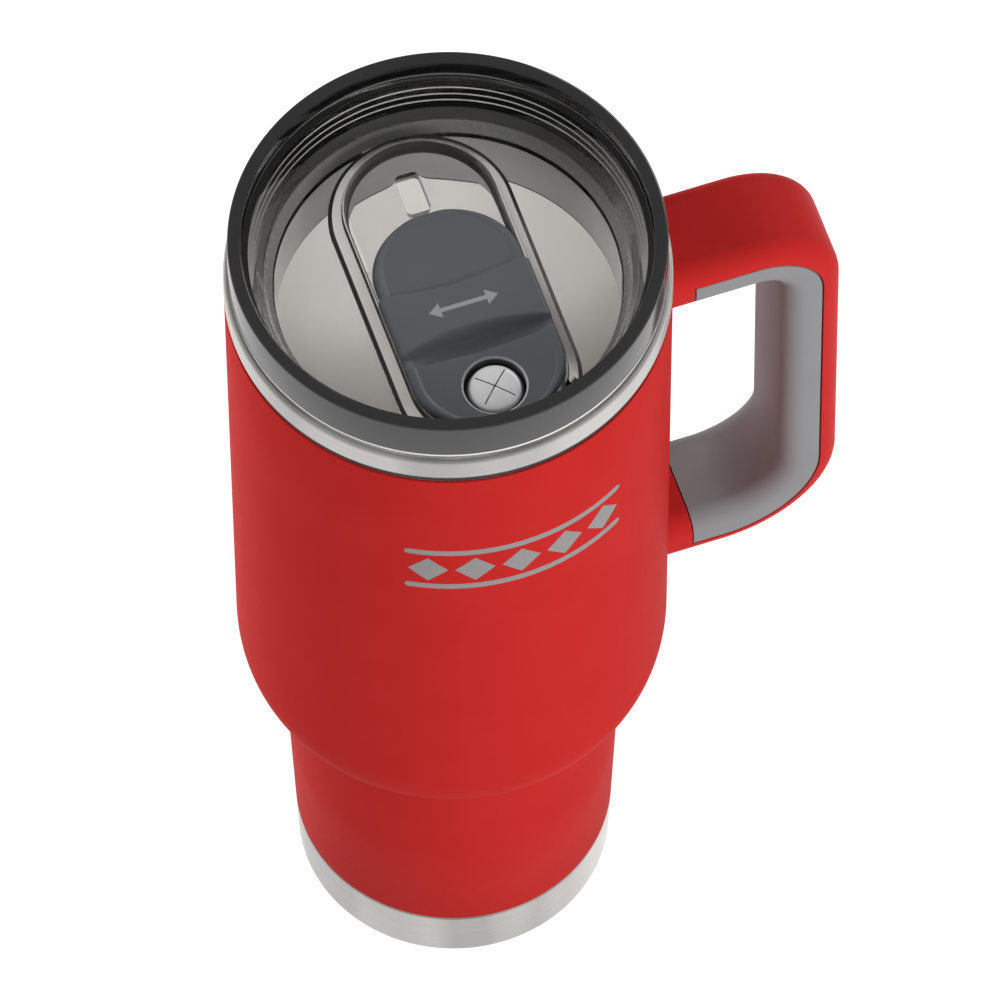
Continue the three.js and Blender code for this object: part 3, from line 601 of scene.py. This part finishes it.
def build_handle():
    outer = handle_section(0.0, SHELL_DEPTH - GAP / 2, HANDLE_EDGE, SPLIT_EDGE)
    shell = sweep_handle("handle_outer", outer, ARM_START)
    for sign, edge in ((-1, HANDLE_HIGH), (1, HANDLE_LOW)):
        combine(shell, arm_block(sign, edge), "UNION", "MANIFOLD")
    combine(shell, envelope(GAP), "DIFFERENCE", "MANIFOLD")
    clean(shell, 40)
    finish_piece(shell, "mug", RED_PLASTIC, "red_plastic", "handle_shell")
    inner = handle_section(SHELL_DEPTH + GAP / 2, HANDLE_DEPTH, SPLIT_EDGE, HANDLE_EDGE)
    grip = sweep_handle("handle_soft_grip", inner, GRIP_START)
    clean(grip, 40)
    finish_piece(grip, "mug", GREY_GRIP, "grey_grip", "handle_grip")


# ---------- lid ----------

RIM_IN = 46.4  # inside edge of the rim's top
CORNER_R, CORNER_Z = 41.5, 246.2  # top of the corner between the well's wall and its floor
# Inside of the well, as (radius, z), from the rim to the floor's edge.
WELL = [
    (46.2, 258.2), (44.9, 257.3), (43.0, 249.6), (CORNER_R, CORNER_Z), (40.6, 244.7),
    (39.5, FLOOR_Z),
]
# Outside of the well's wall, as (radius, z), where the gasket sits.
SEAT = [(42.2, 245.0), (44.1, 249.6), (46.0, 256.6)]
FIN_HEIGHTS = [246.3, 248.9, 251.7]
RIB_HEIGHTS = [254.1, 252.2, 250.4]  # fine ribs on the gasket's inner face, seen through the wall, with painted highlights
GASKET_GREY_Z = 248.3  # the gasket's inner face is paler below this
GLINT_HEIGHT = 0.95  # height of the painted glint along the band's lower edge
WALL_START_R = 38.9  # the lid's plastic has a darker tint outside this radius: painted shade
CORNER_START_R = 39.25  # the corner's painted light starts here
BAND_START_R = 46.3  # the band's painted shade and painted glint start here
TRACK_FEET = [(20.38, 21.6), (16.7, 17.55)]  # both feet of the ridge, from its middle line, get painted shade


def slot_outline(half, front, rear, corner, steps=6):
    """A slot along Y with rounded corners."""
    x = half - corner
    points = arc(x, rear - corner, corner, 0, 90, steps)
    points += arc(-x, rear - corner, corner, 90, 180, steps)
    points += arc(-x, front + corner, corner, 180, 270, steps)
    return points + arc(x, front + corner, corner, 270, 360, steps)


def circle_outline(radius, y, steps=64):
    """A circle round a point on the Y axis."""
    return arc(0, y, radius, 0, 360 - 360 / steps, steps - 1)


def lid_blank(band_bottom):
    """The lid's floor, plug, skirt, band and well, turned in one piece."""
    under, plug_in = FLOOR_Z - FLOOR_DEPTH, PLUG_R - 1.65
    skirt_in, skirt_top = NECK_R + 0.55, LIP_Z + 0.5
    step_r = 44.9
    corners = [  # each point with the rounding of its corner
        ((plug_in, under), 0.8), ((plug_in, PLUG_BOTTOM), 0.3),
        ((PLUG_R - 0.3, PLUG_BOTTOM), 0.3), ((PLUG_R, PLUG_BOTTOM + 0.6), 0.3),
        ((PLUG_R, 241.5), 0.6), ((41.6, 243.6), 0.6), ((step_r, 244.2), 0.2),
        ((step_r, 244.9), 0.2), *zip(SEAT, (0.3, 0.6, 0.6)), ((46.6, skirt_top), 0.5),
        ((skirt_in, skirt_top), 0.3), ((skirt_in, band_bottom), 0.3), ((LID_R, band_bottom), 0.4),
        ((LID_R, band_bottom + GLINT_HEIGHT), 0), ((LID_R, LID_TOP), 0.8), ((RIM_IN, LID_TOP), 0.6),
        *zip(WELL, (0.4, 0.4, 1.5, 1.5, 0.8, 0.6)),
    ]
    points, radii = zip(*corners)
    soft = rounded(points, radii, 5, closed=False)
    return turn("clear_lid", [(0, under)] + soft + [(0, FLOOR_Z)], 256)


def track_ridge():
    """The raised ridge round the slider's track, trimmed to the inside of the well."""
    low = FLOOR_Z - 0.5
    corners = [  # each point with the rounding of its corner
        ((21.3, low), 0), ((21.3, 245.0), 0.35), ((20.4, 245.2), 0.25), ((19.35, 246.7), 0),
        ((19.05, 247.1), 0), ((18.0, 248.6), 0.3), ((17.6, 248.6), 0.15), ((17.5, 246.4), 0.6),
        ((16.9, 244.9), 0.9), ((15.6, POCKET_Z), 0),
    ]
    points, radii = zip(*corners)
    soft = rounded(points, radii, 4, closed=False)
    ridge = turn("ridge", [(0, low)] + soft + [(0, POCKET_Z)], 128, TRACK_REAR, TRACK_FRONT)
    return combine(ridge, well_room("trim", 0.4, FLOOR_Z - 1), "INTERSECT")


def well_room(name, grow, bottom):
    """The room inside the well as a solid, grown by a distance."""
    side = [(r + grow, z) for r, z in WELL[::-1]]
    low_r, high_r = side[0][0], side[-1][0]
    return turn(
        name, [(0, bottom), (low_r, bottom)] + side + [(high_r, LID_TOP), (0, LID_TOP)], 128
    )


def build_lid():
    band_bottom = RING_TOP + 1.0
    lid = combine(lid_blank(band_bottom), track_ridge(), "UNION")
    vent, clip = slot_outline(**VENT), slot_outline(**CLIP_SLOT)
    for name, outline in (("vent", vent), ("port", circle_outline(PORT_R, PORT_Y)), ("slot", clip)):
        hole = raise_shape(name, outline, FLOOR_Z - FLOOR_DEPTH - 1, POCKET_Z + 1)
        combine(lid, hole, "DIFFERENCE")
    clean(lid, 32)
    finish_piece(lid, "lid", SMOKE, "smoke_clear", "lid_body")
    paint_lid(lid, band_bottom)


def paint_lid(lid, band_bottom):
    """Darker and opaque faces on the clear lid: painted shade on the wall, the ridge's feet, the
    band and the rim, painted light in the well's corner, and a painted glint along the band's lower
    edge.
    """
    glint_top = band_bottom + GLINT_HEIGHT

    def on_band(x, y):
        return math.hypot(x, y) > BAND_START_R

    # painted shade: a darker tint on the wall's faces
    paint(lid, WALL_PLASTIC_SHADE, lambda x, y, z: math.hypot(x, y) > WALL_START_R)
    # painted shade along both feet of the ridge
    for inner, outer in TRACK_FEET:
        paint(lid, RIDGE_FOOT_SHADE, lambda x, y, z: on_track(x, y, z, inner, outer))
    # painted light: opaque grey in the well's corner
    paint(lid, CORNER_PAINTED_LIGHT, in_corner)
    # painted shade: the band and the rim near-black
    paint(lid, DARK_PAINTED_SHADE, lambda x, y, z: on_band(x, y) and z > glint_top)
    # painted glint along the band's lower edge
    paint(lid, BAND_PAINTED_GLINT, lambda x, y, z: on_band(x, y) and band_bottom + 0.3 < z < glint_top)


def on_track(x, y, z, inner, outer):
    """On the track's ridge, between two distances from its middle line."""
    across = math.hypot(x, y - max(TRACK_FRONT, min(y, TRACK_REAR)))
    return inner < across < outer and z > FLOOR_Z + 0.6


def in_corner(x, y, z):
    """In the rounded corner between the well's wall and its floor."""
    return CORNER_START_R < math.hypot(x, y) < CORNER_R and FLOOR_Z + 0.001 < z < CORNER_Z


def paint(obj, material, chosen):
    """Gives a further material to the faces whose centre (x, y, z) is chosen."""
    obj.data.materials.append(material)
    index = len(obj.data.materials) - 1
    for face in obj.data.polygons:
        if chosen(*(face.center / MM)):
            face.material_index = index


def build_gasket():
    tip = radius_of("lid_gasket")
    low, high = bottom_of("lid_gasket"), top_of("lid_gasket")

    def inner(z):
        """Radius of the gasket's inner face, just clear of the seat."""
        lower, middle, upper = SEAT
        start, end = (lower, middle) if z < middle[1] else (middle, upper)
        share = (z - start[1]) / (end[1] - start[1])
        return start[0] + (end[0] - start[0]) * share + GAP

    def on_grey(x, y, z):
        return z < GASKET_GREY_Z and math.hypot(x, y) < inner(z) + 0.1

    sleeve = 0.6
    outline = [(inner(low), low), (inner(low) + sleeve, low)]
    for z in FIN_HEIGHTS:
        outline += [(inner(z) + sleeve, z - 0.4), (tip - 0.3, z), (tip, z + 0.15), (tip, z + 0.3)]
        outline += [(tip - 0.2, z + 0.4), (inner(z) + sleeve, z + 0.45)]
    outline += [(inner(high) + 0.5, high), (inner(high), high)]
    for z in RIB_HEIGHTS:
        outline += [(inner(z), z + 0.3), (inner(z) - 0.1, z), (inner(z), z - 0.3)]
    outline += [(inner(z), z) for z in (SEAT[1][1], GASKET_GREY_Z)]
    gasket = turn("three_fin_gasket", outline, 256, sharp_deg=60)
    finish_piece(gasket, "lid_ring", SILICONE, "black_silicone", "lid_gasket")
    # painted highlight on the ribs seen through the wall
    paint(gasket, RIB_PAINTED_HIGHLIGHT, lambda x, y, z: min(abs(z - h) for h in RIB_HEIGHTS) < 0.25)
    paint(gasket, GREY_SILICONE, on_grey)


# ---------- slider ----------


def smooth_step(t):
    """Eases from 0 to 1 as t goes from 0 to 1."""
    t = max(0.0, min(1.0, t))
    return t * t * (3 - 2 * t)


def between(first, second, share):
    """A mix of two heights or widths; share is the second one's part."""
    return first * (1 - share) + second * share


def half_width(y):
    """Half the slider's width at y: straight sides with half-oval ends."""
    t = min(max(y, SLIDER_FRONT - y, 0.0) / SLIDER_END, 1.0)
    side = between(SLIDER_REAR_HALF, SLIDER_HALF, smooth_step((-y - 3.0) / 0.9))
    return side * math.sqrt(max(1 - t * t, 0.0))


def slider_height(x, y):
    """Top of the slider: rear pad, raised band, crescent finger step and dished nose."""
    to_side = half_width(y) - abs(x)
    bow = (x / SLIDER_HALF) ** 2
    rear_line = -4.7 + 2.3 * bow  # where the rear pad steps up to the band
    crescent_top = -15.9 - 3.3 * bow
    crescent_bottom = -22.2 + 0.9 * bow
    rear_pad = SLIDER_REAR_Z - 0.25 * smooth_step((min(to_side, SLIDER_END - y) - 1.6) / 1.2)
    band = SLIDER_BAND_Z + 0.2 * smooth_step((-y - 4.0) / 8.0)
    nose = SLIDER_NOSE_Z - 0.35 * smooth_step(to_side - 1.8)
    hollow = nose - CRESCENT_DEPTH * (1 - bow)
    if y > crescent_top:
        return between(rear_pad, band, smooth_step((rear_line + 0.45 - y) / 0.9))
    if y > crescent_bottom:
        t = (crescent_top - y) / max(crescent_top - crescent_bottom, 1e-6)
        return between(band, hollow, smooth_step(t / 0.45))
    return between(hollow, nose, smooth_step((crescent_bottom - y) / 0.7))


def slider_top(rows, columns):
    """A grid over the slider's outline that carries its top; points and faces."""
    rear, front = SLIDER_END - 0.02, SLIDER_FRONT - SLIDER_END + 0.02
    verts, faces = [], []
    for i in range(rows + 1):
        y = rear + (front - rear) * (0.5 - 0.5 * math.cos(math.pi * i / rows))
        width = max(half_width(y), 0.05)
        for j in range(columns + 1):
            x = width * math.sin(math.pi / 2 * (2 * j / columns - 1))
            lip = min(width - abs(x), rear - y + 0.02, y - front + 0.02)
            t = max(0.0, min(lip / SLIDER_EDGE, 1.0))
            drop = SLIDER_EDGE * (1 - math.sqrt(max(1 - (1 - t) ** 2, 0.0)))
            verts.append((x, y, slider_height(x, y) - drop))
    stride = columns + 1
    for i in range(rows):
        for j in range(columns):
            a = i * stride + j
            faces.append((a, a + 1, a + stride + 1, a + stride))
    return verts, faces


def slider_sides(verts, faces, rows, columns):
    """Closes the slider under its top: rings that step in and down, then a flat belly."""
    stride = columns + 1
    rim = list(range(stride))
    rim += [i * stride + columns for i in range(1, rows + 1)]
    rim += [rows * stride + j for j in range(columns - 1, -1, -1)]
    rim += [i * stride for i in range(rows - 1, 0, -1)]
    levels = [(0.0, 248.9), (0.55, 248.7), (0.7, 246.9), (2.9, 246.2), (3.1, bottom_of("slider"))]
    loops = [rim]
    for inset, z in levels:
        loop = []
        for index in rim:
            x, y, _ = verts[index]
            out = Vector((x, y - max(SLIDER_FRONT, min(y, 0.0))))
            out = out.normalized() if out.length > 1e-6 else Vector((0, 1))
            loop.append(len(verts))
            verts.append((x - out.x * inset, y - out.y * inset, z))
        loops.append(loop)
    count = len(rim)
    for upper, lower in zip(loops, loops[1:]):
        for i in range(count):
            k = (i + 1) % count
            faces.append((upper[i], upper[k], lower[k], lower[i]))
    faces.append(tuple(loops[-1]))


def valve_hole():
    """The hole through the slider that holds the valve, with a small slope at its top."""
    wide, slope_z, top_z = VALVE_HOLE_R + HOLE_SLOPE, 249.7, 250.6
    profile = [(0, 240), (VALVE_HOLE_R, 240), (VALVE_HOLE_R, slope_z), (wide, top_z)]
    hole = turn("hole", profile + [(wide, 256), (0, 256)], 160)
    hole.location.y = PORT_Y * MM
    return hole


def paint_hole_highlight(slider):
    """Painted highlight on the slope round the valve's hole."""
    slider.data.materials.append(HOLE_PAINTED_HIGHLIGHT)
    for face in slider.data.polygons:
        x, y, z = face.center / MM
        near = 0.01 < math.hypot(x, y - PORT_Y) - VALVE_HOLE_R < 0.7
        if near and z > 249.6 and 0.4 < face.normal.z < 0.85:
            face.material_index = 1


def build_slider():
    rows, columns = 280, 110
    verts, faces = slider_top(rows, columns)
    slider_sides(verts, faces, rows, columns)
    slider = new_object("drink_slider_cover", verts, faces)
    combine(slider, well_room("well", -0.5, FLOOR_Z - 2), "INTERSECT")
    combine(slider, valve_hole(), "DIFFERENCE")
    seal_room = raise_shape("seal_room", circle_outline(9.2, PORT_Y), 240, 246.5)
    combine(slider, seal_room, "DIFFERENCE")
    clip = slot_outline(**{**CLIP_SLOT, "rear": CLIP_REAR})
    combine(slider, raise_shape("clip_room", clip, 240, 247.6), "DIFFERENCE")
    clean(slider, 32)
    finish_piece(slider, "drink_slider", CHARCOAL, "charcoal_plastic", "slider")
    paint_hole_highlight(slider)


def build_valve():
    """Clear dome in the slider's hole, cut by a cross."""
    base, seat, top = bottom_of("straw_valve"), 247.9, top_of("straw_valve")
    rim, foot = VALVE_HOLE_R - GAP, VALVE_EDGE_R - 1.0
    dome_z = seat + 0.9
    height = top - dome_z
    profile = [(0, base + 1.1), (foot, base + 0.7), (foot, base), (rim, base)]
    profile += arc(rim - 0.4, seat - 0.1, 0.4, 0, 90, 4)
    profile += [(VALVE_EDGE_R + 0.2, seat + 0.3), (VALVE_EDGE_R, dome_z)]
    steps = 10
    for i in range(1, steps + 1):
        a = math.pi / 2 * i / steps
        radius = VALVE_EDGE_R * math.cos(a) if i < steps else 0.0
        profile.append((radius, dome_z + height * math.sin(a)))
    valve = turn("straw_valve_dome", profile, 128, sharp_deg=60)
    half, groove = 5.1, 0.13
    for angle in (45, -45):
        strip = [(-half, -groove), (half, -groove), (half, groove), (-half, groove)]
        cutter = raise_shape("slit", strip, top - 1.8, top + 1)
        cutter.rotation_euler.z = math.radians(angle)
        combine(valve, cutter, "DIFFERENCE")
    valve.location.y = PORT_Y * MM

    def in_slit(x, y, z):
        dome = dome_z + height * math.sqrt(max(1 - (x * x + y * y) / VALVE_EDGE_R**2, 0.0))
        return top - 1.9 < z < dome - 0.12 and math.hypot(x, y) < half

    finish_piece(valve, "drink_slider", VALVE_CLEAR, "clear_silicone", "straw_valve")
    # painted shade: the dark ring round the valve's dome
    paint(valve, DARK_PAINTED_SHADE, lambda x, y, z: math.hypot(x, y) > VALVE_EDGE_R + 0.1)
    # painted shade: the faces inside the slits near-black
    paint(valve, SEAM_AND_SLIT_SHADE, in_slit)


# ---------- prints ----------


def wrap_on_body(name, outlines, centre_z, lift):
    """Flat outlines of (along, up) points laid on the mug's front, a thin raised print."""
    longest, sunk = 2.0 * MM, -0.15
    verts, faces = [], []
    for outline in outlines:
        first, count = len(verts), len(outline)
        verts += [(along, up, layer) for layer in (0.0, 1.0) for along, up in outline]
        faces += [tuple(range(first, first + count))[::-1]]
        faces += [tuple(range(first + count, first + 2 * count))]
        for i in range(count):
            k = (i + 1) % count
            faces.append((first + i, first + k, first + count + k, first + count + i))
    obj = new_object(name, verts, faces)
    bm = bmesh.new()
    bm.from_mesh(obj.data)
    bmesh.ops.triangulate(bm, faces=bm.faces)
    for _ in range(4):
        long_edges = [e for e in bm.edges if e.calc_length() > longest]
        bmesh.ops.subdivide_edges(bm, edges=long_edges, cuts=1)
        bmesh.ops.triangulate(bm, faces=bm.faces)
    for vert in bm.verts:
        along, up, layer = (c / MM for c in vert.co)
        z = centre_z + up
        radius = outside_radius(z) + (lift if layer > 0.5 else sunk)
        angle = along / COAT_R
        vert.co = Vector((radius * math.sin(angle), -radius * math.cos(angle), z)) * MM
    bm.to_mesh(obj.data)
    bm.free()
    clean(obj, 50)
    return obj


def bar_outline(low, high, half_length):
    """A long bar with round ends, between two heights."""
    radius, middle = (high - low) / 2, (high + low) / 2
    right = arc(half_length - radius, middle, radius, -90, 90, 8)
    return right + arc(radius - half_length, middle, radius, 90, 270, 8)


def build_badge():
    """Five plain diamonds between two bars, on the body."""
    half_length, middle_z = 27.0, 201.8
    low, high = 6.4, 8.5
    step, across, up = 10.8, 4.6, 5.0
    outlines = [bar_outline(low, high, half_length), bar_outline(-high, -low, half_length)]
    for i in range(-2, 3):
        x = i * step
        outlines.append([(x - across, 0), (x, -up), (x + across, 0), (x, up)])
    badge = wrap_on_body("front_badge", outlines, middle_z, 0.04)
    finish_piece(badge, "mug", PRINT, None)


def build_arrow():
    """A plain two-way arrow, laid on the slider's raised band."""
    tip, neck, wide, thin = 8.2, 5.4, 2.0, 0.55
    middle_y, lift, sunk = -10.6, 0.03, -0.15
    outline = [(-tip, 0), (-neck, wide), (-neck, thin), (neck, thin), (neck, wide), (tip, 0)]
    outline += [(neck, -wide), (neck, -thin), (-neck, -thin), (-neck, -wide)]
    arrow = raise_shape("slider_arrow", outline, 0.0, 0.3)
    for vert in arrow.data.vertices:
        x, y = vert.co.x / MM, vert.co.y / MM + middle_y
        z = slider_height(x, y) + (lift if vert.co.z > 0 else sunk)
        vert.co = Vector((x, y, z)) * MM
    finish_piece(arrow, "drink_slider", SLIDER_PRINT, None)


# ---------- hidden pieces ----------

# The CAD nodes that keep their own mesh, by material.
HIDDEN = {
    STEEL: ["vacuum_bottom", "vacuum_seal", "vacuum_getter", "handle_upper_bracket",
            "handle_lower_bracket", "handle_upper_screw", "handle_lower_screw"],
    SILICONE: ["slider_seal"],
    CHARCOAL: ["slider_clip"],
}


def dress_hidden():
    """Gives the hidden CAD pieces, which are kept as they are, their materials."""
    for material, names in HIDDEN.items():
        for name in names:
            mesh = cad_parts[name].data
            mesh.materials.clear()
            mesh.materials.append(material)


# ---------- studio ----------

CAMERA_HEADING = math.radians(-18.5)
FLOOR_GLOW = 0.84  # the floor's glow as the camera sees it
FLOOR_BOUNCE = 0.42  # its glow as light on the mug


def build_floor():
    """A pale floor that glows, less for what it lights than for the camera."""
    reach = 6.0
    corners = [(-reach, -reach, 0), (reach, -reach, 0), (reach, reach, 0), (-reach, reach, 0)]
    mesh = bpy.data.meshes.new("studio_floor")
    mesh.from_pydata(corners, [], [(0, 1, 2, 3)])
    floor = bpy.data.objects.new("studio_floor", mesh)
    bpy.context.scene.collection.objects.link(floor)
    material, tree, shader, vector = new_material("pale_floor", Roughness=0.9)
    pale = noise(tree, vector, 3.0, 2.0)
    tint = blend_colors(tree, pale, (0.33, 0.33, 0.33, 1.0), (0.37, 0.37, 0.37, 1.0))
    tree.links.new(tint, shader.inputs["Base Color"])
    shader.inputs["Emission Color"].default_value = (1.0, 1.0, 1.0, 1.0)
    lighting = add(tree, "ShaderNodeLightPath").outputs["Is Diffuse Ray"]
    glow = remap(tree, lighting, 0.0, 1.0, FLOOR_GLOW, FLOOR_BOUNCE)
    tree.links.new(glow, shader.inputs["Emission Strength"])
    mesh.materials.append(material)


def softbox(name, bearing, distance, height, size, power):
    """A soft lamp aimed at the mug's middle, at a bearing in degrees to the right of the
    camera's side of the mug."""
    lamp = bpy.data.lights.new(name, "AREA")
    lamp.shape = "RECTANGLE"
    lamp.size, lamp.size_y = size
    lamp.energy = power
    obj = bpy.data.objects.new(name, lamp)
    bpy.context.scene.collection.objects.link(obj)
    angle = math.radians(bearing) + CAMERA_HEADING
    obj.location = (distance * math.sin(angle), -distance * math.cos(angle), height)
    aim = Vector((0, 0, 0.14)) - obj.location
    obj.rotation_mode = "QUATERNION"
    obj.rotation_quaternion = aim.to_track_quat("-Z", "Y")
    return obj


def build_lamps():
    """Three soft lamps round the mug, and one that lights only the vessel and the gasket."""
    key = softbox("key", 40, 1.4, 0.55, (0.8, 1.0), 18.0)
    fill = softbox("fill", -112, 1.3, 0.45, (0.7, 1.0), 16.0)
    softbox("back", 150, 1.4, 0.9, (0.9, 0.7), 8.0)
    for lamp in (key, fill):
        lamp.visible_glossy = False
    inside = softbox("vessel_light", 5, 0.75, 1.3, (0.3, 0.3), 24.0)
    receivers = bpy.data.collections.new("vessel_light_receivers")
    for name in ("inner_vessel", "three_fin_gasket"):
        receivers.objects.link(bpy.data.objects[name])
    inside.light_linking.receiver_collection = receivers
    inside.light_linking.blocker_collection = receivers


def build_world(horizon, zenith):
    """White surroundings, brightest at the horizon and dimmer overhead."""
    world = bpy.data.worlds.new("studio_world")
    bpy.context.scene.world = world
    world.use_nodes = True
    tree = world.node_tree
    direction = add(tree, "ShaderNodeTexCoord").outputs["Generated"]
    height = add(tree, "ShaderNodeSeparateXYZ", {0: direction}).outputs["Z"]
    strength = remap(tree, height, 0.0, 0.9, horizon, zenith)
    background = tree.nodes["Background"]
    background.inputs["Color"].default_value = (1.0, 1.0, 1.0, 1.0)
    tree.links.new(strength, background.inputs["Strength"])


def build_camera():
    """Looks down on the mug from far away, turned a little towards its handle."""
    yaw, pitch, roll = 0.0051, 1.0434, -0.0060
    camera = bpy.data.cameras.new("camera")
    camera.sensor_width = 36.0
    camera.lens = 693.9
    camera.clip_start, camera.clip_end = 0.1, 50.0
    obj = bpy.data.objects.new("camera", camera)
    bpy.context.scene.collection.objects.link(obj)
    turn_z = Matrix.Rotation(CAMERA_HEADING, 4, "Z")
    place = turn_z @ Vector((0, -2.2214, 3.9607))
    aim = turn_z @ Matrix.Rotation(-yaw, 4, "Z") @ Matrix.Rotation(math.pi / 2 - pitch, 4, "X")
    obj.matrix_world = Matrix.Translation(place) @ aim @ Matrix.Rotation(roll, 4, "Z")
    bpy.context.scene.camera = obj
    bpy.context.scene.view_settings.view_transform = "Standard"


build_camera()
build_outer_shell()
build_base_cup()
build_neck()
build_liner()
build_handle()
build_lid()
build_gasket()
build_slider()
build_valve()
build_badge()
build_arrow()
dress_hidden()
build_floor()
build_world(0.37, 0.31)
build_lamps()
